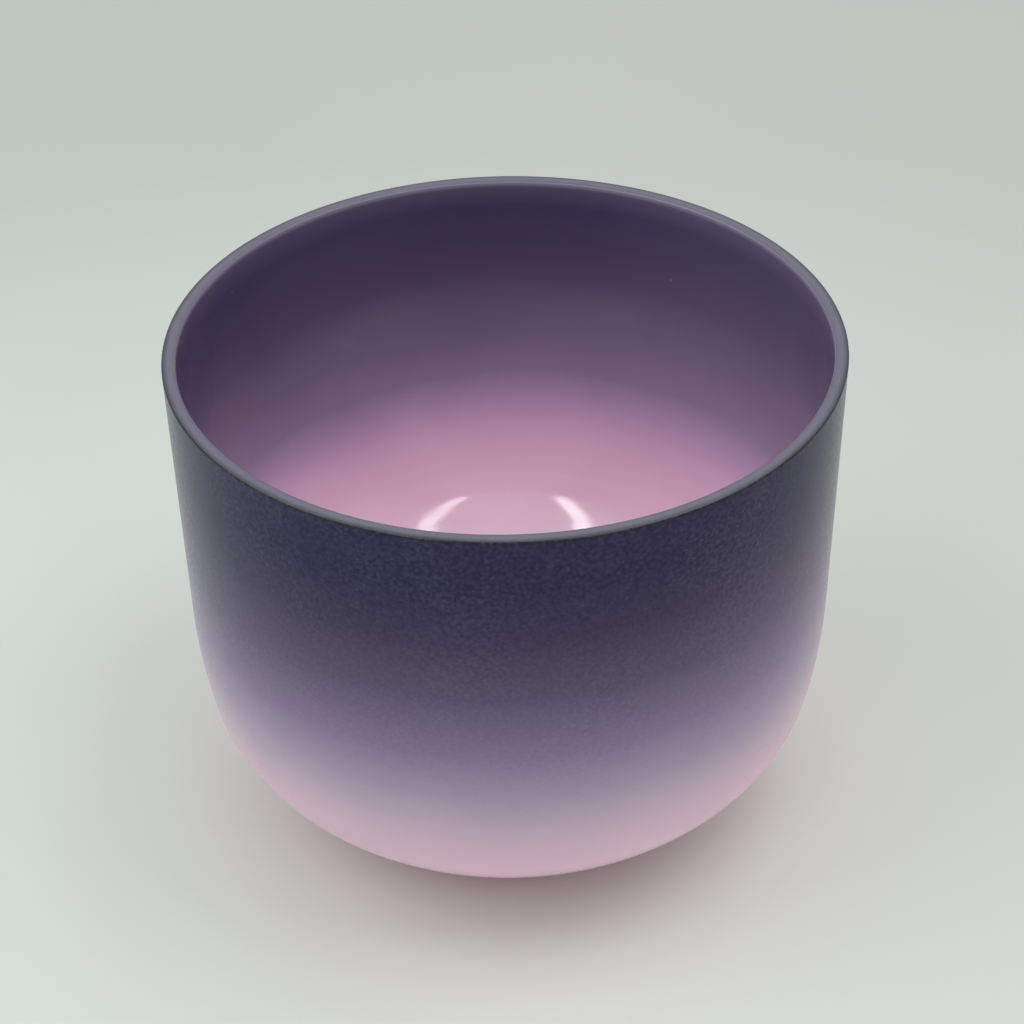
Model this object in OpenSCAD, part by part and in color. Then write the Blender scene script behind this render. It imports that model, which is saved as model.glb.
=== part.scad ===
// Frosted quartz singing bowl with a colour coat outside and inside.
// One open vessel made of four bonded layers, each a solid of revolution.
// Millimetres, +Z up, origin on the ground at the centre of the foot.

/* [Vessel] */
// Outside diameter of the straight wall, over the colour coat
outer_d = 200; // [160:1:300]
// Height from the foot to the rim
height = 164; // [120:1:260]
// Diameter of the flat foot that the bowl stands on
foot_d = 46; // [30:1:70]

/* [Curve of the base] */
// Radius of the long, slight curve that ends the straight wall
shoulder_r = 176; // [120:1:220]
// Radius of the tight curve where the wall turns into the base
knuckle_r = 38.5; // [20:0.5:48]
// Slope of the outside at the end of the long curve, degrees from level
shoulder_slope = 80.5; // [76:0.5:86]
// Slope of the outside at the end of the tight curve, degrees from level
knuckle_slope = 50; // [40:1:60]

/* [Layers] */
// Colour coat outside
outer_coat_t = 0.3; // [0.25:0.05:0.5]
// Frosted quartz, full of fine bubbles, that gives the bowl its strength
shell_t = 2.5; // [1.5:0.1:5]
// Clear quartz, fused smooth on the inside of the frosted quartz
lining_t = 1; // [0.6:0.1:2]
// Colour coat inside
inner_coat_t = 0.3; // [0.25:0.05:0.5]

/* [Rim and foot] */
// Radius of the ground edge between the rim and the outside
rim_outer_r = 0.7; // [0.55:0.05:1]
// Radius of the ground edge between the rim and the inside
rim_inner_r = 1; // [0.55:0.05:1.2]
// Width of the bare quartz that the outside coat leaves round the foot
bare_w = 11; // [8:0.5:16]

/* [Hidden] */
$fn = 180;

// The quartz is drawn first, and each layer is a step in from its outside.
quartz_r = outer_d / 2 - outer_coat_t;
lining_in = shell_t;
coat_in = lining_in + lining_t;
wall_in = coat_in + inner_coat_t;

// The base is three arcs, each tangent to the next and the last one tangent to the foot.
base_r = (quartz_r - foot_d / 2
          - shoulder_r * (1 - sin(shoulder_slope))
          - knuckle_r * (sin(shoulder_slope) - sin(knuckle_slope))) / sin(knuckle_slope);
base_centre = [foot_d / 2, base_r];
knuckle_centre = base_centre + (base_r - knuckle_r) * slope_dir(knuckle_slope);
shoulder_centre = knuckle_centre + (knuckle_r - shoulder_r) * slope_dir(shoulder_slope);

// Longest turn of one straight step along an arc, in degrees
arc_step = 2.5;
// How far a cutter runs past the face that it has to clear
spare = 5;

// Direction from an arc's centre to its point of a given slope
function slope_dir(slope) = [sin(slope), -cos(slope)];

// Points down an arc from one slope to the next, without the first
function arc_points(centre, r, from_slope, to_slope) =
    let (steps = ceil((from_slope - to_slope) / arc_step))
    [for (i = [1:steps]) centre + r * slope_dir(from_slope + (to_slope - from_slope) * i / steps)];

// Half outline at a depth in from the outside of the quartz, from the rim down to the axis
function outline(depth) = concat(
    [[quartz_r - depth, height], [quartz_r - depth, shoulder_centre[1]]],
    arc_points(shoulder_centre, shoulder_r - depth, 90, shoulder_slope),
    arc_points(knuckle_centre, knuckle_r - depth, shoulder_slope, knuckle_slope),
    arc_points(base_centre, base_r - depth, knuckle_slope, 0),
    [[0, depth]]
);

function reversed(points) = [for (i = [len(points) - 1:-1:0]) points[i]];

// Waste taken off a square edge at the origin to leave it round; the work lies below and to the left
module edge_waste(r) {
    difference() {
        translate([-r, -r])
            square(r + spare);
        translate([-r, -r])
            circle(r);
    }
}

// What grinding the rim takes away at its two edges
module rim_waste() {
    rotate_extrude()
        translate([outer_d / 2, height])
            edge_waste(rim_outer_r);
    rotate_extrude()
        translate([quartz_r - wall_in, height])
            mirror([1, 0])
                edge_waste(rim_inner_r);
}

// One layer of the vessel between two depths; its children are cut away
module layer(from_depth, to_depth) {
    difference() {
        rotate_extrude()
            polygon(concat(outline(from_depth), reversed(outline(to_depth))));
        rim_waste();
        children();
    }
}

module quartz_shell() {
    color([0.68, 0.66, 0.72])
        layer(0, lining_in);
}

module quartz_lining() {
    color([0.80, 0.78, 0.84])
        layer(lining_in, coat_in);
}

module outer_coat() {
    color([0.30, 0.28, 0.42])
        layer(-outer_coat_t, 0)
            translate([0, 0, -spare])
                cylinder(h = 2 * spare, r = foot_d / 2 + bare_w);
}

module inner_coat() {
    color([0.62, 0.46, 0.56])
        layer(coat_in, wall_in);
}

quartz_shell();
quartz_lining();
outer_coat();
inner_coat();
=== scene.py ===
import math

import bmesh
import bpy
from bpy.props import FloatProperty, FloatVectorProperty, IntProperty, PointerProperty
from bpy.types import Operator, Panel, PropertyGroup
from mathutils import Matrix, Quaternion, Vector


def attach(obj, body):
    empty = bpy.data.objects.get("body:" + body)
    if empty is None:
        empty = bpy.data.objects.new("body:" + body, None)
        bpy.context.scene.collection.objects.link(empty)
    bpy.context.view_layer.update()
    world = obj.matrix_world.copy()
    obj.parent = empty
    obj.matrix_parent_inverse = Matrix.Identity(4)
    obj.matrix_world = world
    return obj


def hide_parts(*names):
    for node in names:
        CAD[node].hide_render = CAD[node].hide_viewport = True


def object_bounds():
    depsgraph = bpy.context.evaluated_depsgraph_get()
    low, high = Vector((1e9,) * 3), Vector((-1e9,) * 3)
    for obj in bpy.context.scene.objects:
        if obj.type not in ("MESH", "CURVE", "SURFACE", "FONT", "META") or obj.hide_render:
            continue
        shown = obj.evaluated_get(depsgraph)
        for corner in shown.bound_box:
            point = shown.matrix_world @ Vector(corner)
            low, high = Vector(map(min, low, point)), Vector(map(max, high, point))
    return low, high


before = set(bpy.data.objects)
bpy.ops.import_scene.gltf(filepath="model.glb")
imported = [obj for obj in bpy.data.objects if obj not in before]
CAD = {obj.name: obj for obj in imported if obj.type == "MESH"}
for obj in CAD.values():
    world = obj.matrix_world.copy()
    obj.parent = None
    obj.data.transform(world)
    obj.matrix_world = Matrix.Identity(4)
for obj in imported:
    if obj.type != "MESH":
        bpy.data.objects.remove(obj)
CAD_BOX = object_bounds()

bl_info = {
    "name": "Quartz singing bowl",
    "version": (1, 0, 0),
    "blender": (4, 5, 0),
    "location": "3D View > Sidebar > Bowl",
    "description": "Dresses a frosted quartz singing bowl with graded coats and sets it on a pale stage",
    "category": "Object",
}


# ---------------------------------------------------------------- sizes that the frame gives


def widest(node):
    """Largest radius of a turned CAD node."""
    return max(v.co.xy.length for v in CAD[node].data.vertices)


def narrowest(node, above=0.0):
    """Smallest radius of a turned CAD node, over the stretch above a height."""
    return min(v.co.xy.length for v in CAD[node].data.vertices if v.co.z > above)


def foot_radius(slack=1e-5):
    """Radius of the flat that the bowl stands on, whose points lie within the slack of the lowest one."""
    level = CAD_BOX[0].z + slack
    return max(v.co.xy.length for v in CAD["quartz_shell"].data.vertices if v.co.z < level)


HEIGHT = CAD_BOX[1].z
# The wall is straight from here up
STRAIGHT_FROM = 0.6 * HEIGHT
OUTSIDE_R = widest("outer_coat")
QUARTZ_R = widest("quartz_shell")
LINING_R = widest("quartz_lining")
INNER_COAT_R = widest("inner_coat")
BORE_R = narrowest("inner_coat", above=STRAIGHT_FROM)
FOOT_R = foot_radius()
COAT_EDGE_R = narrowest("outer_coat")


# ---------------------------------------------------------------- sizes and colours to change


class BowlForm(PropertyGroup):
    """Curves of the bowl's section."""

    shoulder_radius: FloatProperty(
        name="Shoulder radius",
        description="Radius of the long, slight curve that ends the straight wall",
        default=0.176, min=0.1, unit="LENGTH")
    knuckle_radius: FloatProperty(
        name="Knuckle radius",
        description="Radius of the tight curve where the wall turns into the base",
        default=0.0385, min=0.01, unit="LENGTH")
    shoulder_slope: FloatProperty(
        name="Shoulder slope", description="Slope of the outside where the long curve ends",
        default=math.radians(80.5), subtype="ANGLE")
    knuckle_slope: FloatProperty(
        name="Knuckle slope", description="Slope of the outside where the tight curve ends",
        default=math.radians(50), subtype="ANGLE")
    rim_outer_radius: FloatProperty(
        name="Rim outer edge", description="Radius ground on the rim's outer edge",
        default=0.0007, min=0.0001, precision=5, unit="LENGTH")
    rim_inner_radius: FloatProperty(
        name="Rim inner edge", description="Radius ground on the rim's inner edge",
        default=0.001, min=0.0001, precision=5, unit="LENGTH")
    steps_round: IntProperty(
        name="Steps round", description="Straight steps that each turned layer has round the bowl",
        default=288, min=32)


def colour_choice(name, description, default):
    """A colour property."""
    return FloatVectorProperty(
        name=name, description=description, default=default, subtype="COLOR", min=0.0, max=1.0)


class OuterCoat(PropertyGroup):
    """Colours of the coat outside, from the rim down, and its grain."""

    # Edge is painted shade: a dark line on the rim's rounded edge, where it catches less light
    edge: colour_choice("Edge", "Where the coat builds up on the rim's edge", (0.005, 0.005, 0.01))
    indigo: colour_choice("Indigo", "Under the rim", (0.01, 0.005, 0.04))
    dusk: colour_choice("Dusk", "Four fifths of the way up", (0.03, 0.02, 0.06))
    slate: colour_choice("Slate", "Two thirds of the way up", (0.08, 0.06, 0.12))
    violet: colour_choice("Violet", "Above the middle", (0.19, 0.14, 0.24))
    lavender: colour_choice("Lavender", "Below the middle", (0.31, 0.25, 0.36))
    lilac: colour_choice("Lilac", "Over a third of the way up", (0.50, 0.38, 0.47))
    # Blush and pink are the coat's pink, lightened by a painted glow of light shining through the quartz
    blush: colour_choice("Blush", "Where the base turns under", (0.70, 0.47, 0.59))
    pink: colour_choice("Pink", "On the turn of the base", (0.88, 0.57, 0.73))
    rose: colour_choice("Rose", "Under the base", (0.85, 0.36, 0.50))
    frost: colour_choice("Frost", "Tips of the frosted quartz, where they show through", (0.50, 0.48, 0.66))
    # The lean is painted light: the fade lies higher on the right, so the right side is paler
    lean: FloatProperty(
        name="Lean of the fade", description="How much higher the fade lies on the right", default=0.02)
    grain_size: FloatProperty(
        name="Grain size", description="Width of the grain of the frosted quartz under the coat",
        default=0.0013, min=0.0001, precision=5, unit="LENGTH")
    grain_contrast: FloatProperty(
        name="Grain contrast", description="How far the frost shows through the coat",
        default=0.031, min=0.0, max=1.0)


class InnerCoat(PropertyGroup):
    """Colours of the coat inside, from the rim down, and its gloss."""

    lip: colour_choice("Lip", "Thin coat on the edge of the rim", (0.15, 0.13, 0.20))
    shade: colour_choice("Shade", "Just under the lip", (0.07, 0.06, 0.10))
    indigo: colour_choice("Indigo", "Under the rim", (0.035, 0.03, 0.075))
    dusk: colour_choice("Dusk", "Three quarters of the way up", (0.045, 0.04, 0.09))
    plum: colour_choice("Plum", "Two thirds of the way up", (0.12, 0.09, 0.17))
    violet: colour_choice("Violet", "Above the middle", (0.21, 0.16, 0.27))
    orchid: colour_choice("Orchid", "Below the middle", (0.44, 0.30, 0.46))
    rose: colour_choice("Rose", "Two fifths of the way up", (0.65, 0.43, 0.58))
    pink: colour_choice("Pink", "Where the wall turns into the bottom", (0.82, 0.54, 0.69))
    blush: colour_choice("Blush", "On the turn", (0.92, 0.62, 0.75))
    pale: colour_choice("Pale", "On the bottom", (0.98, 0.73, 0.84))
    speck: colour_choice("Speck", "Rare pale specks in the coat", (0.55, 0.50, 0.58))
    speck_spacing: FloatProperty(
        name="Speck spacing", description="Distance between the places where a speck may lie",
        default=0.014, min=0.001, precision=4, unit="LENGTH")
    # Painted light: the inside is tinted paler on its right, where light from the left falls
    painted_light_right: colour_choice("Thin", "Where the coat is thinner, on the right", (0.38, 0.33, 0.50))
    painted_light_right_share: FloatProperty(
        name="Thin share", description="How far that thinner coat changes the colour",
        default=0.09, min=0.0, max=1.0)
    # The lean is painted light: the fade lies higher on the right, so the right side is paler
    lean: FloatProperty(
        name="Lean of the fade", description="How much higher the fade lies on the right", default=0.02)
    turn_depth: FloatProperty(
        name="Turn depth", description="How much the quartz thickens from the wall to the bottom",
        default=0.002, min=0.0, precision=4, unit="LENGTH")
    turn_top: FloatProperty(
        name="Turn top", description="Height where that thickening starts", default=0.0506, unit="LENGTH")
    turn_low: FloatProperty(
        name="Turn bottom", description="Height where it is complete", default=0.0302, unit="LENGTH")
    ripple_size: FloatProperty(
        name="Ripple size", description="Width of the faint ripple in the gloss",
        default=0.02, min=0.001, precision=4, unit="LENGTH")
    ripple_depth: FloatProperty(
        name="Ripple depth", description="Depth of the faint ripple in the gloss",
        default=0.0001, min=0.0, precision=6, unit="LENGTH")


class BareQuartz(PropertyGroup):
    """Colours of the quartz where no coat covers it."""

    body: colour_choice("Body", "Grey of the ground quartz", (0.07, 0.063, 0.10))
    lining: colour_choice("Lining", "Mauve of the clear quartz, seen end on", (0.08, 0.07, 0.11))
    # Edge is painted shade along the rim's outer edge, where the rounding catches less light
    edge: colour_choice("Edge", "Darker quartz where a coat runs over its edge", (0.01, 0.01, 0.02))
    pale: colour_choice("Pale", "Paler quartz on the ridges of the grinding", (0.18, 0.18, 0.24))
    foot: colour_choice("Foot", "Milky quartz of the foot, where both coats are pink", (0.60, 0.52, 0.56))


class Stage(PropertyGroup):
    """Floor, light and camera."""

    # Painted light on the floor: paler round the bowl, a darker grey further off as painted shade, and
    # painted light tints on the left and right
    floor_near: colour_choice("Floor near", "Pale grey of the floor round the bowl", (0.54, 0.56, 0.54))
    floor_far_painted_shade: colour_choice("Floor far", "Pale grey of the floor further off", (0.39, 0.41, 0.39))
    floor_left_painted_light_tint: colour_choice("Floor left", "Tint of the floor's cooler left side", (0.96, 1.0, 0.99))
    floor_right_painted_light_tint: colour_choice("Floor right", "Tint of the floor's warmer right side", (1.0, 0.985, 0.97))
    near_reach: FloatProperty(
        name="Near reach", description="How far the paler grey reaches round the bowl",
        default=0.12, min=0.0, unit="LENGTH")
    far_reach: FloatProperty(
        name="Far reach", description="How far out the floor has faded to its darker grey",
        default=0.48, min=0.1, unit="LENGTH")
    sky: colour_choice("Surround colour", "Colour of the even light from all round", (0.98, 1.0, 0.985))
    sky_strength: FloatProperty(
        name="Surround", description="Strength of the even light from all round", default=0.72, min=0.0)
    lens: FloatProperty(name="Lens", description="Focal length in millimetres", default=73.8, min=10.0)
    distance: FloatProperty(
        name="Camera distance", description="From the camera to the point it looks at",
        default=0.6535, unit="LENGTH")
    elevation: FloatProperty(
        name="Camera elevation", description="Angle that the camera looks down at",
        default=math.radians(36.62), subtype="ANGLE")
    roll: FloatProperty(
        name="Camera roll", description="Small lean of the camera",
        default=math.radians(-1.0), subtype="ANGLE")
    aim_height: FloatProperty(
        name="Aim height", description="Height of the point the camera looks at",
        default=0.0994, unit="LENGTH")
    aim_side: FloatProperty(
        name="Aim side", description="How far that point lies beside the bowl's axis",
        default=0.0012, unit="LENGTH")


# ---------------------------------------------------------------- the bowl's section


class Section:
    """Half section of the bowl, in (radius, height) points, worked out from the form."""

    ARC_STEP = math.radians(1.5)
    RIM_STEP = math.radians(15)

    def __init__(self, form):
        self.form = form
        # Each ground edge of the rim: its wall's radius, its own radius, and 1 outside or -1 inside
        self.rim_edges = ((OUTSIDE_R, form.rim_outer_radius, 1), (BORE_R, form.rim_inner_radius, -1))
        top, low = form.shoulder_slope, form.knuckle_slope
        self.base_radius = (
            QUARTZ_R - FOOT_R
            - form.shoulder_radius * (1 - math.sin(top))
            - form.knuckle_radius * (math.sin(top) - math.sin(low))
        ) / math.sin(low)
        self.base_centre = Vector((FOOT_R, self.base_radius))
        knuckle_offset = self.base_radius - form.knuckle_radius
        self.knuckle_centre = self.base_centre + self.towards(low) * knuckle_offset
        shoulder_offset = form.knuckle_radius - form.shoulder_radius
        self.shoulder_centre = self.knuckle_centre + self.towards(top) * shoulder_offset

    @staticmethod
    def towards(slope):
        """Direction from an arc's centre to its point of a given slope."""
        return Vector((math.sin(slope), -math.cos(slope)))

    def arc(self, centre, radius, start, end):
        """Points along an arc from one slope to the next, without the first."""
        count = max(1, math.ceil(abs(start - end) / self.ARC_STEP))
        slopes = [start + (end - start) * i / count for i in range(1, count + 1)]
        return [centre + self.towards(slope) * radius for slope in slopes]

    def wall(self, depth):
        """Outline at a depth in from the quartz, from the top of the straight wall down to the axis."""
        form = self.form
        points = [Vector((QUARTZ_R - depth, self.shoulder_centre.y))]
        upright, level = math.pi / 2, 0.0
        for centre, radius, start, end in (
            (self.shoulder_centre, form.shoulder_radius, upright, form.shoulder_slope),
            (self.knuckle_centre, form.knuckle_radius, form.shoulder_slope, form.knuckle_slope),
            (self.base_centre, self.base_radius, form.knuckle_slope, level),
        ):
            points += self.arc(centre, radius - depth, start, end)
        return points

    def rim_height(self, radius):
        """Height of the ground rim at a radius."""
        for edge, corner, side in self.rim_edges:
            past = side * (radius - edge) + corner
            if past > 0:
                return HEIGHT - corner + math.sqrt(max(0.0, corner**2 - past**2))
        return HEIGHT

    def rim(self, outer, inner):
        """Points over the rim from an outer radius to an inner one."""
        radii = {outer, inner}
        steps = round(math.pi / 2 / self.RIM_STEP)
        for edge, corner, side in self.rim_edges:
            for i in range(steps + 1):
                radius = edge - side * corner * (1 - math.cos(i * self.RIM_STEP))
                if inner < radius < outer:
                    radii.add(radius)
        return [Vector((radius, self.rim_height(radius))) for radius in sorted(radii, reverse=True)]

    def layer(self, outer, inner, edge_radius=0.0):
        """Section of one layer; it ends at the axis, or at edge_radius where the base is left bare."""
        outside = self.wall(QUARTZ_R - outer)
        inside = self.wall(QUARTZ_R - inner)
        if edge_radius:
            outside = self.cut(outside, edge_radius)
            inside = self.cut(inside, edge_radius)
        else:
            outside.append(Vector((0.0, outside[-1].y)))
            inside.append(Vector((0.0, inside[-1].y)))
        return list(reversed(outside)) + self.rim(outer, inner) + inside

    @staticmethod
    def cut(points, radius):
        """Outline down to a radius, with its last point on that radius."""
        kept = [p for p in points if p.x > radius]
        last, beyond = kept[-1], points[len(kept)]
        share = (last.x - radius) / (last.x - beyond.x)
        return kept + [last.lerp(beyond, share)]


# ---------------------------------------------------------------- turning


# Points of a turned piece that lie closer than this are one
MERGE_WITHIN = 1e-6


class NodeBench:
    """Adds nodes to a tree and joins them, so that a tree reads from top to bottom."""

    def __init__(self, tree):
        self.tree = tree

    def add(self, kind, settings=None, **inputs):
        """A node with its settings, its inputs set by name to a value or joined to an output."""
        node = self.tree.nodes.new(kind)
        for name, value in (settings or {}).items():
            setattr(node, name, value)
        for name, value in inputs.items():
            self.feed(node.inputs[name.replace("_", " ")], value)
        return node

    def feed(self, socket, value):
        """Sets a socket, or joins it when the value is an output."""
        if isinstance(value, bpy.types.NodeSocket):
            self.tree.links.new(value, socket)
        elif socket.type == "RGBA":
            socket.default_value = (*value[:3], 1.0)
        else:
            socket.default_value = value


def lathe_tree():
    """Geometry Nodes that turn a flat section round the Z axis and give it its finish."""
    tree = bpy.data.node_groups.new("lathe", "GeometryNodeTree")
    for name, kind in (("Section", "Geometry"), ("Steps", "Int"), ("Finish", "Material")):
        tree.interface.new_socket(name, in_out="INPUT", socket_type="NodeSocket" + kind)
    tree.interface.new_socket("Piece", in_out="OUTPUT", socket_type="NodeSocketGeometry")
    bench = NodeBench(tree)
    given = bench.add("NodeGroupInput").outputs
    circle = bench.add("GeometryNodeCurvePrimitiveCircle", Resolution=given["Steps"], Radius=1.0)
    section = bench.add("GeometryNodeMeshToCurve", Mesh=given["Section"])
    turned = bench.add("GeometryNodeCurveToMesh", Curve=circle.outputs["Curve"])
    bench.feed(turned.inputs["Profile Curve"], section.outputs["Curve"])
    closed = bench.add("GeometryNodeMergeByDistance", Geometry=turned.outputs["Mesh"],
                       Distance=MERGE_WITHIN)
    smooth = bench.add("GeometryNodeSetShadeSmooth", Geometry=closed.outputs["Geometry"])
    whole = bench.add("GeometryNodeRealizeInstances", Geometry=smooth.outputs["Geometry"])
    finish = bench.add("GeometryNodeSetMaterial", Geometry=whole.outputs["Geometry"],
                       Material=given["Finish"])
    result = bench.add("NodeGroupOutput")
    bench.feed(result.inputs["Piece"], finish.outputs["Geometry"])
    return tree


def wire(name, points, closed):
    """Edges along a section, laid flat for the lathe, which adds a radius of one and turns it over."""
    mesh = bpy.data.meshes.new(name)
    corners = [(p.x - 1.0, -p.y, 0.0) for p in points]
    edges = [(i, i + 1) for i in range(len(points) - 1)]
    if closed:
        edges.append((len(points) - 1, 0))
    mesh.from_pydata(corners, edges, [])
    return mesh


def turn(name, points, finish, steps, closed=False):
    """Piece turned from a section, as a plain closed mesh with its faces outwards."""
    blank = bpy.data.objects.new(name + "_blank", wire(name, points, closed))
    bpy.context.scene.collection.objects.link(blank)
    tree = bpy.data.node_groups.get("lathe") or lathe_tree()
    modifier = blank.modifiers.new("lathe", "NODES")
    modifier.node_group = tree
    items = tree.interface.items_tree
    sockets = {item.name: item.identifier for item in items if item.in_out == "INPUT"}
    modifier[sockets["Steps"]] = steps
    modifier[sockets["Finish"]] = finish
    bpy.context.view_layer.update()
    evaluated = blank.evaluated_get(bpy.context.evaluated_depsgraph_get())
    mesh = bpy.data.meshes.new_from_object(evaluated)
    mesh.name = name
    bpy.data.objects.remove(blank)
    face_outwards(mesh)
    piece = bpy.data.objects.new(name, mesh)
    bpy.context.scene.collection.objects.link(piece)
    return piece


def face_outwards(mesh, sharp_angle=math.radians(35)):
    """Turns every face of a closed mesh outwards, and keeps its real corners sharp."""
    work = bmesh.new()
    work.from_mesh(mesh)
    bmesh.ops.recalc_face_normals(work, faces=work.faces)
    work.to_mesh(mesh)
    work.free()
    mesh.set_sharp_from_angle(angle=sharp_angle)


# ---------------------------------------------------------------- finishes


# How strongly fused quartz and the matte coat bend light
QUARTZ_IOR = 1.46
MATTE_IOR = 1.36
# Depths under the rim between which a coat's fade loses its sway
SWAY_ENDS = (0.020, 0.004)
# Radii between which painted shade darkens the ground rim towards its outer edge
RIM_PAINTED_SHADE = (QUARTZ_R - 0.0015, QUARTZ_R - 0.0005)
# Heights between which bare quartz turns from milky to dark; the foot lies below them and the rim above
MILKY_ENDS = (0.02, 0.06)


def fresh_finish(name):
    """An empty material with its bench."""
    finish = bpy.data.materials.new(name)
    finish.use_nodes = True
    finish.node_tree.nodes.clear()
    return finish, NodeBench(finish.node_tree)


def close_finish(bench, shader):
    """Joins the shader to the material's output."""
    output = bench.add("ShaderNodeOutputMaterial")
    bench.feed(output.inputs["Surface"], shader.outputs["BSDF"])


def where(bench):
    """Place on the piece, in metres from the foot's centre."""
    return bench.add("ShaderNodeTexCoord").outputs["Object"]


def part_of(bench, vector, axis):
    """One part of a place or a colour."""
    return bench.add("ShaderNodeSeparateXYZ", Vector=vector).outputs[axis]


def height_of(bench, place):
    """Height above the foot."""
    return part_of(bench, place, "Z")


def side_of(bench, place):
    """Distance to the right of the bowl's axis."""
    return part_of(bench, place, "X")


def stretched(bench, place, scale):
    """Place squeezed or drawn out along the axes, so that a noise on it is too."""
    node = bench.add("ShaderNodeVectorMath", {"operation": "MULTIPLY"})
    bench.feed(node.inputs[0], place)
    node.inputs[1].default_value = scale
    return node.outputs["Vector"]


def radius_of(bench, place):
    """Distance from the bowl's axis."""
    length = bench.add("ShaderNodeVectorMath", {"operation": "LENGTH"})
    bench.feed(length.inputs[0], stretched(bench, place, (1.0, 1.0, 0.0)))
    return length.outputs["Value"]


def calculate(bench, operation, first, second):
    """One sum on two values or outputs."""
    node = bench.add("ShaderNodeMath", {"operation": operation})
    bench.feed(node.inputs[0], first)
    bench.feed(node.inputs[1], second)
    return node.outputs["Value"]


def product(bench, first, second):
    """Two values multiplied."""
    return calculate(bench, "MULTIPLY", first, second)


def total(bench, first, second):
    """Two values added."""
    return calculate(bench, "ADD", first, second)


def span(bench, value, low, high, bottom=0.0, top=1.0):
    """Value carried from one span to another, held at its ends."""
    node = bench.add("ShaderNodeMapRange", {"clamp": True}, Value=value)
    node.inputs["From Min"].default_value = low
    node.inputs["From Max"].default_value = high
    node.inputs["To Min"].default_value = bottom
    node.inputs["To Max"].default_value = top
    return node.outputs["Result"]


def sway(bench, noise, bottom, top, reach=0.2):
    """Noise, which stays mostly within its reach of a half, carried to a span."""
    return span(bench, noise, 0.5 - reach, 0.5 + reach, bottom, top)


def grain(bench, place, size, detail=2.0):
    """Noise with features about as wide as size."""
    noise = bench.add("ShaderNodeTexNoise", Vector=place, Scale=1.0 / size, Detail=detail, Roughness=0.5)
    return noise.outputs["Fac"]


def grinding_rings(bench, radius, width, detail):
    """Noise in rings round the bowl's axis, each about as wide as width."""
    noise = bench.add("ShaderNodeTexNoise", {"noise_dimensions": "1D"}, W=radius, Scale=1.0 / width,
                      Detail=detail)
    return noise.outputs["Fac"]


def tint(bench, first, second, share, blend="MIX"):
    """Two colours mixed by a share."""
    mix = bench.add("ShaderNodeMix", {"data_type": "RGBA", "blend_type": blend})
    # Its colour sockets come after those of its other data types, which have the same names.
    for socket, value in ((mix.inputs[0], share), (mix.inputs[6], first), (mix.inputs[7], second)):
        bench.feed(socket, value)
    return mix.outputs[2]


def fade(bench, value, low, high, stops):
    """Smooth run of colours along a value, through (value, colour) stops."""
    ramp = bench.add("ShaderNodeValToRGB", Fac=span(bench, value, low, high))
    ramp.color_ramp.interpolation = "LINEAR"
    elements = ramp.color_ramp.elements
    elements.remove(elements[-1])
    for index, (level, colour) in enumerate(sorted(stops, key=lambda stop: stop[0])):
        position = (level - low) / (high - low)
        element = elements[0] if index == 0 else elements.new(position)
        element.position = position
        element.color = (*colour, 1.0)
    return ramp.outputs["Color"]


def relief(bench, height, depth, strength=1.0, over=None):
    """Bump of a given depth; it can lie over another."""
    bump = bench.add("ShaderNodeBump", Height=height, Strength=strength, Distance=depth)
    if over is not None:
        bench.feed(bump.inputs["Normal"], over)
    return bump.outputs["Normal"]


def coat_level(bench, place, cloud_size, lean, shift=0.003):
    """Height along a sprayed fade, which a slow cloud shifts; it also leans, though not under the rim, as
    painted light that makes the right side paler.
    """
    height = height_of(bench, place)
    cloud = span(bench, grain(bench, place, cloud_size), 0.0, 1.0, -shift, shift)
    # The lean is painted light: it lowers the level on the right, so the paler colours lie higher there
    drift = calculate(bench, "SUBTRACT", cloud, product(bench, side_of(bench, place), lean))
    low, high = (HEIGHT - depth for depth in SWAY_ENDS)
    loose = span(bench, height, low, high, 1.0, 0.0)
    return total(bench, height, product(bench, drift, loose))


def matte_coat(coat):
    """Matte coat sprayed over frosted quartz: graded colour, which the tips of the frost show through."""
    finish, bench = fresh_finish("matte_coat")
    place = where(bench)
    level = coat_level(bench, place, 0.030, coat.lean)
    # Height of each colour, from the rim down; the edge stop is painted shade, a dark line where the
    # rounded rim catches less light
    colour = fade(bench, level, 0.0, HEIGHT, [
        (0.1635, coat.edge), (0.1628, coat.indigo), (0.148, coat.indigo), (0.130, coat.dusk),
        (0.110, coat.slate), (0.090, coat.violet), (0.075, coat.lavender), (0.060, coat.lilac),
        # Blush and pink: the coat's pink plus a painted glow of light shining through the quartz
        (0.045, coat.blush), (0.034, coat.pink), (0.012, coat.rose),
    ])
    frost = sway(bench, grain(bench, place, coat.grain_size, detail=1.0), 0.0, 1.0, reach=0.16)
    crystals = bench.add("ShaderNodeTexVoronoi", Vector=place, Scale=1.0 / coat.grain_size).outputs
    tips = span(bench, crystals["Distance"], 0.10, 0.60, 1.0, 0.0)
    bright = part_of(bench, crystals["Color"], "X")
    shown = total(bench, frost, product(bench, tips, bright))
    patches = sway(bench, grain(bench, place, 0.030), 0.6, 1.3, reach=0.15)
    share = product(bench, product(bench, shown, patches), coat.grain_contrast)
    grained = tint(bench, colour, coat.frost, share)
    surface = relief(bench, shown, depth=0.00002, strength=0.4)
    dullness = span(bench, frost, 0.0, 1.0, 0.19, 0.27)
    shader = bench.add("ShaderNodeBsdfPrincipled", Base_Color=grained, Roughness=dullness, IOR=MATTE_IOR,
                       Normal=surface)
    close_finish(bench, shader)
    return finish


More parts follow.
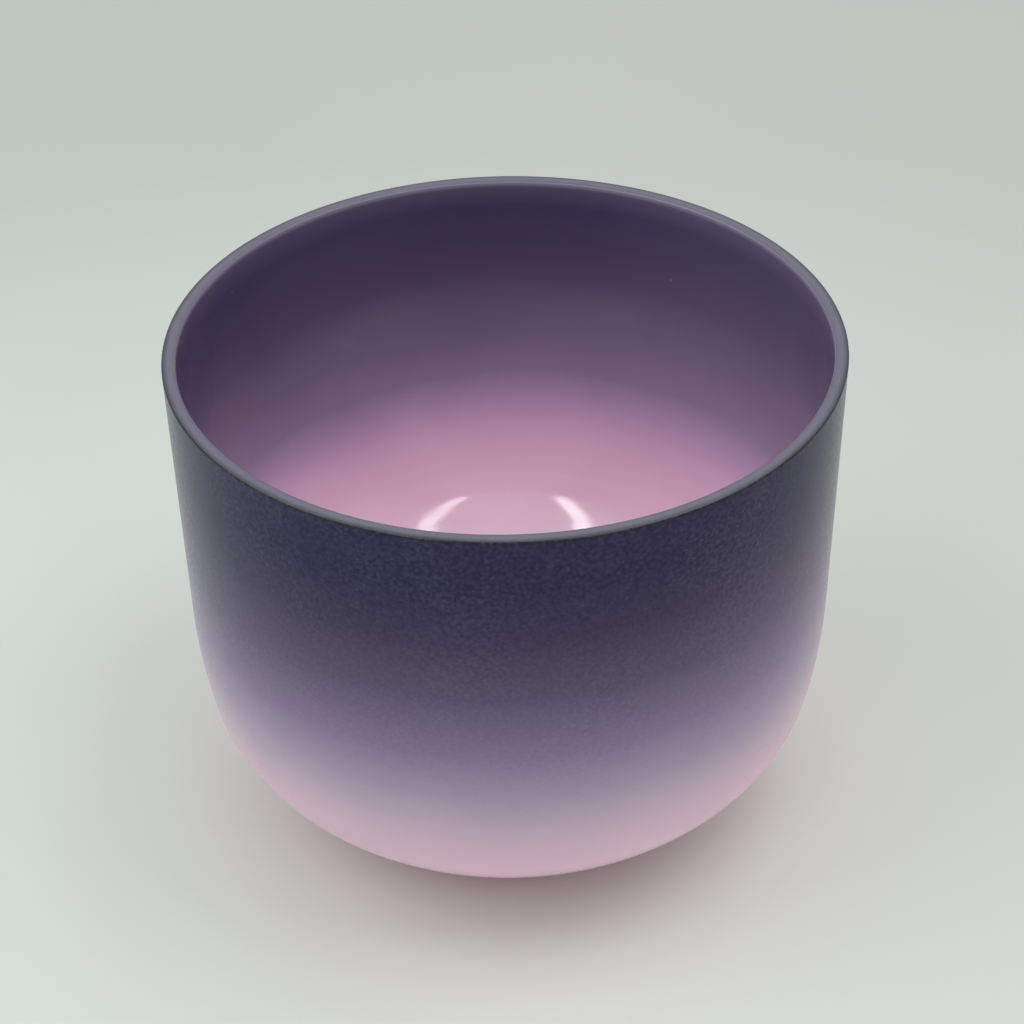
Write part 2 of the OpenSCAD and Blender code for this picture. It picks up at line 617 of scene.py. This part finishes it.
def gloss_coat(coat):
    """Glossy coat on smooth quartz: graded colour, with painted light that makes it paler on the right, and
    a few pale specks.

    Its surface swells where the wall turns into the bottom, and ripples faintly. Wipe marks dull it a
    little, and so does the grinding at the lip.
    """
    finish, bench = fresh_finish("gloss_coat")
    place = where(bench)
    height = height_of(bench, place)
    level = coat_level(bench, place, 0.035, coat.lean)
    # Height of each colour, from the rim down
    colour = fade(bench, level, 0.0, HEIGHT, [
        (0.1625, coat.lip), (0.1620, coat.shade), (0.155, coat.indigo), (0.142, coat.indigo),
        (0.128, coat.dusk), (0.107, coat.plum), (0.090, coat.violet), (0.076, coat.orchid),
        (0.064, coat.rose), (0.050, coat.pink), (0.038, coat.blush), (0.030, coat.pale),
    ])
    # Painted light: the right of the inside is tinted paler, where light from the left falls
    painted_light_right_mask = span(bench, side_of(bench, place), 0.03, 0.09, 0.0, coat.painted_light_right_share)
    colour = tint(bench, colour, coat.painted_light_right, painted_light_right_mask)
    cells = bench.add("ShaderNodeTexVoronoi", Vector=place, Scale=1.0 / coat.speck_spacing).outputs
    close_by = span(bench, cells["Distance"], 0.02, 0.045, 1.0, 0.0)
    rare = span(bench, part_of(bench, cells["Color"], "X"), 0.80, 0.95, 0.0, 0.12)
    speckled = tint(bench, colour, coat.speck, product(bench, close_by, rare))
    swell = bench.add("ShaderNodeMapRange", {"interpolation_type": "SMOOTHERSTEP"}, Value=height)
    swell.inputs["From Min"].default_value = coat.turn_top
    swell.inputs["From Max"].default_value = coat.turn_low
    ripple = grain(bench, place, coat.ripple_size, detail=1.0)
    surface = relief(bench, swell.outputs["Result"], coat.turn_depth)
    surface = relief(bench, ripple, coat.ripple_depth, over=surface)
    surface = relief(bench, grain(bench, place, 0.004, detail=1.0), depth=0.00002, over=surface)
    wipes = grain(bench, stretched(bench, place, (1.0, 1.0, 7.0)), 0.020, detail=3.0)
    wiped = sway(bench, wipes, 0.07, 0.11, reach=0.15)
    ground = span(bench, height, HEIGHT - 0.002, HEIGHT - 0.001, 0.0, 0.30)
    dullness = total(bench, wiped, ground)
    shader = bench.add("ShaderNodeBsdfPrincipled", Base_Color=speckled, Roughness=dullness, Normal=surface)
    close_finish(bench, shader)
    return finish


def ground_quartz(quartz):
    """Frosted quartz where it is ground: satin, in fine rings, with painted shade on the rim's outer edge
    and milky at the foot.
    """
    finish, bench = fresh_finish("ground_quartz")
    place = where(bench)
    radius = radius_of(bench, place)
    rings = grinding_rings(bench, radius, 0.00035, detail=3.0)
    fine = grain(bench, place, 0.0007)
    cloud = grain(bench, place, 0.012)
    # Painted shade: the ground rim darkens towards its outer edge
    painted_shade_from, painted_shade_at = RIM_PAINTED_SHADE
    body = fade(bench, radius, LINING_R, OUTSIDE_R, [
        (LINING_R, quartz.body), (painted_shade_from, quartz.body), (painted_shade_at, quartz.edge),
    ])
    light = product(bench, rings, 0.5)
    light = total(bench, light, product(bench, fine, 0.3))
    light = total(bench, light, product(bench, cloud, 0.2))
    colour = tint(bench, body, quartz.pale, sway(bench, light, 0.0, 0.30))
    low = span(bench, height_of(bench, place), *MILKY_ENDS, 1.0, 0.0)
    milky = product(bench, low, sway(bench, light, 0.85, 1.0))
    colour = tint(bench, colour, quartz.foot, milky)
    surface = relief(bench, rings, depth=0.000012)
    surface = relief(bench, fine, depth=0.000015, over=surface)
    dullness = sway(bench, fine, 0.34, 0.46)
    shader = bench.add("ShaderNodeBsdfPrincipled", Base_Color=colour, Roughness=dullness, IOR=QUARTZ_IOR,
                       Normal=surface)
    close_finish(bench, shader)
    return finish


def clear_quartz(quartz):
    """Clear quartz lining, which shows end on as a mauve line inside the rim."""
    finish, bench = fresh_finish("clear_quartz")
    place = where(bench)
    radius = radius_of(bench, place)
    rings = grinding_rings(bench, radius, 0.00025, detail=2.0)
    patches = grain(bench, place, 0.004)
    body = fade(bench, radius, INNER_COAT_R, LINING_R, [
        (INNER_COAT_R, quartz.lining), (LINING_R, quartz.body),
    ])
    light = total(bench, rings, patches)
    colour = tint(bench, body, quartz.pale, span(bench, light, 0.7, 1.3, 0.0, 0.12))
    surface = relief(bench, patches, depth=0.000008)
    dullness = sway(bench, patches, 0.35, 0.40)
    shader = bench.add("ShaderNodeBsdfPrincipled", Base_Color=colour, Roughness=dullness, IOR=QUARTZ_IOR,
                       Normal=surface)
    close_finish(bench, shader)
    return finish


# ---------------------------------------------------------------- the bowl's pieces


def seat(piece, node):
    """Puts a finished piece in place of its CAD node."""
    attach(piece, "root")
    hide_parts(node)


class BOWL_OT_shell(Operator):
    """Turns the frosted quartz shell, whose rim and foot show"""

    bl_idname = "bowl.shell"
    bl_label = "Frosted shell"

    def execute(self, context):
        form = context.scene.bowl_form
        points = Section(form).layer(QUARTZ_R, LINING_R)
        finish = ground_quartz(context.scene.bowl_quartz)
        piece = turn("frosted_shell", points, finish, form.steps_round)
        seat(piece, "quartz_shell")
        return {"FINISHED"}


class BOWL_OT_lining(Operator):
    """Turns the clear quartz lining, whose edge shows in the rim"""

    bl_idname = "bowl.lining"
    bl_label = "Clear lining"

    def execute(self, context):
        form = context.scene.bowl_form
        points = Section(form).layer(LINING_R, INNER_COAT_R)
        finish = clear_quartz(context.scene.bowl_quartz)
        piece = turn("clear_lining", points, finish, form.steps_round)
        seat(piece, "quartz_lining")
        return {"FINISHED"}


class BOWL_OT_outer_coat(Operator):
    """Turns the matte coat that fades from indigo to pink outside"""

    bl_idname = "bowl.outer_coat"
    bl_label = "Outer coat"

    def execute(self, context):
        form = context.scene.bowl_form
        points = Section(form).layer(OUTSIDE_R, QUARTZ_R, edge_radius=COAT_EDGE_R)
        finish = matte_coat(context.scene.bowl_outer_coat)
        piece = turn("outer_colour_coat", points, finish, form.steps_round, closed=True)
        seat(piece, "outer_coat")
        return {"FINISHED"}


class BOWL_OT_inner_coat(Operator):
    """Turns the glossy coat that fades from indigo to pink inside"""

    bl_idname = "bowl.inner_coat"
    bl_label = "Inner coat"

    def execute(self, context):
        form = context.scene.bowl_form
        points = Section(form).layer(INNER_COAT_R, BORE_R)
        finish = gloss_coat(context.scene.bowl_inner_coat)
        piece = turn("inner_colour_coat", points, finish, form.steps_round)
        seat(piece, "inner_coat")
        return {"FINISHED"}


# ---------------------------------------------------------------- stage


# Half the floor's width: it runs well past what the camera sees
FLOOR_HALF = 10.0
# What is added to a place on the floor, so that its paler middle, which is painted light, lies left of the
# bowl and in front of it
PAINTED_LIGHT_OFFSET = (0.04, 0.04, 0.0)
# Point on the bowl's axis that every lamp faces
LAMP_AIM = Vector((0.0, 0.0, 0.05))


def pale_floor(stage):
    """Matte floor with painted light: pale round the bowl and fading to a darker grey further off as
    painted shade, with painted light tints, cooler on its left and warmer on its right.
    """
    finish, bench = fresh_finish("pale_floor")
    place = where(bench)
    near, far = stage.floor_near, stage.floor_far_painted_shade
    middle = bench.add("ShaderNodeMapping", Vector=place, Location=PAINTED_LIGHT_OFFSET).outputs["Vector"]
    # Painted light: the floor is paler round the bowl and fades to painted shade further off
    floor_and_painted_light = fade(bench, radius_of(bench, middle), 0.0, stage.far_reach, [
        (0.0, near), (stage.near_reach, near), (stage.far_reach, far),
    ])
    side = side_of(bench, place)
    # Painted light tints: cooler on the left, warmer and a little darker on the right
    floor_and_painted_light = tint(bench, floor_and_painted_light, stage.floor_left_painted_light_tint, span(bench, side, -0.05, -0.20), "MULTIPLY")
    floor_and_painted_light = tint(bench, floor_and_painted_light, stage.floor_right_painted_light_tint, span(bench, side, 0.05, 0.20), "MULTIPLY")
    cloud = grain(bench, place, 0.35, detail=1.0)
    floor_and_painted_light = tint(bench, floor_and_painted_light, near, sway(bench, cloud, 0.0, 0.06))
    surface = relief(bench, grain(bench, place, 0.003), depth=0.00005, strength=0.2)
    shader = bench.add("ShaderNodeBsdfPrincipled", Base_Color=floor_and_painted_light, Roughness=0.8, Specular_IOR_Level=0.2,
                       Normal=surface)
    close_finish(bench, shader)
    return finish


def lay_floor(stage):
    """Wide floor under the bowl."""
    mesh = bpy.data.meshes.new("floor")
    low, high = -FLOOR_HALF, FLOOR_HALF
    corners = [(low, low, 0), (high, low, 0), (high, high, 0), (low, high, 0)]
    mesh.from_pydata(corners, [], [(0, 1, 2, 3)])
    mesh.materials.append(pale_floor(stage))
    floor = bpy.data.objects.new("floor", mesh)
    bpy.context.scene.collection.objects.link(floor)


def surround(stage):
    """Even light from all round."""
    world = bpy.data.worlds.new("surround")
    world.use_nodes = True
    background = world.node_tree.nodes["Background"]
    background.inputs["Color"].default_value = (*stage.sky, 1.0)
    background.inputs["Strength"].default_value = stage.sky_strength
    bpy.context.scene.world = world


def aimed(name, data, place, facing, lean):
    """Object at a place that looks along a direction, leaned on its own axis by an angle."""
    holder = bpy.data.objects.new(name, data)
    holder.location = place
    holder.rotation_mode = "QUATERNION"
    level = facing.to_track_quat("-Z", "Y")
    holder.rotation_quaternion = level @ Quaternion((0.0, 0.0, 1.0), lean)
    bpy.context.scene.collection.objects.link(holder)
    return holder


def around(side, rise, distance):
    """Place round the bowl: degrees to the right of the front, degrees up, and distance."""
    bearing, lift = math.radians(side), math.radians(rise)
    out = distance * math.cos(lift)
    return Vector((out * math.sin(bearing), -out * math.cos(bearing), distance * math.sin(lift)))


def softbox(name, place, width, depth, power, lean=0.0):
    """Soft rectangular light that faces the bowl, leaned on its own axis by degrees."""
    lamp = bpy.data.lights.new(name, "AREA")
    lamp.shape = "RECTANGLE"
    lamp.size = width
    lamp.size_y = depth
    lamp.energy = power
    aimed(name, lamp, place, LAMP_AIM - place, math.radians(lean))


def set_camera(stage):
    """Camera that looks down at the bowl from the front."""
    data = bpy.data.cameras.new("camera")
    data.lens = stage.lens
    aim = Vector((stage.aim_side, 0.0, stage.aim_height))
    back = Vector((0.0, -math.cos(stage.elevation), math.sin(stage.elevation)))
    bpy.context.scene.camera = aimed("camera", data, aim + back * stage.distance, -back, stage.roll)


class BOWL_OT_stage(Operator):
    """Lays the floor, lights the bowl and sets the camera"""

    bl_idname = "bowl.stage"
    bl_label = "Stage"

    def execute(self, context):
        stage = context.scene.bowl_stage
        lay_floor(stage)
        surround(stage)
        softbox("left_window", around(-83, 49, 1.8), width=1.3, depth=1.2, power=11.5)
        softbox("right_window", around(88, 62, 1.8), width=1.2, depth=1.2, power=12.0)
        softbox("back", around(180, 55, 1.8), width=1.6, depth=1.0, power=4.5)
        softbox("left_strip", around(-31, 44, 1.6), width=0.56, depth=0.12, power=2.5, lean=-40)
        softbox("right_strip", around(30, 42, 1.6), width=0.6, depth=0.12, power=2.0, lean=30)
        set_camera(stage)
        context.scene.view_settings.view_transform = "Standard"
        return {"FINISHED"}


# ---------------------------------------------------------------- panel and registration


class BOWL_PT_panel(Panel):
    """Lists the bowl's operators and its settings."""

    bl_label = "Quartz singing bowl"
    bl_idname = "BOWL_PT_panel"
    bl_space_type = "VIEW_3D"
    bl_region_type = "UI"
    bl_category = "Bowl"

    def draw(self, context):
        for operator in STEPS:
            self.layout.operator(operator.bl_idname)
        for name, group in SETTINGS.items():
            settings = getattr(context.scene, name)
            box = self.layout.box()
            box.label(text=group.__doc__)
            for setting in group.__annotations__:
                box.prop(settings, setting)


SETTINGS = {
    "bowl_form": BowlForm,
    "bowl_outer_coat": OuterCoat,
    "bowl_inner_coat": InnerCoat,
    "bowl_quartz": BareQuartz,
    "bowl_stage": Stage,
}
STEPS = (BOWL_OT_stage, BOWL_OT_shell, BOWL_OT_lining, BOWL_OT_outer_coat, BOWL_OT_inner_coat)
CLASSES = (*SETTINGS.values(), *STEPS, BOWL_PT_panel)


def register():
    """Adds the bowl's settings, operators and panel."""
    for cls in CLASSES:
        bpy.utils.register_class(cls)
    for name, group in SETTINGS.items():
        setattr(bpy.types.Scene, name, PointerProperty(type=group))


def unregister():
    """Takes them away again."""
    for name in SETTINGS:
        delattr(bpy.types.Scene, name)
    for cls in reversed(CLASSES):
        bpy.utils.unregister_class(cls)


def main():
    """Lays the stage and makes the bowl, piece by piece."""
    register()
    bpy.ops.bowl.stage()
    bpy.ops.bowl.shell()
    bpy.ops.bowl.lining()
    bpy.ops.bowl.outer_coat()
    bpy.ops.bowl.inner_coat()


if __name__ == "__main__":
    main()
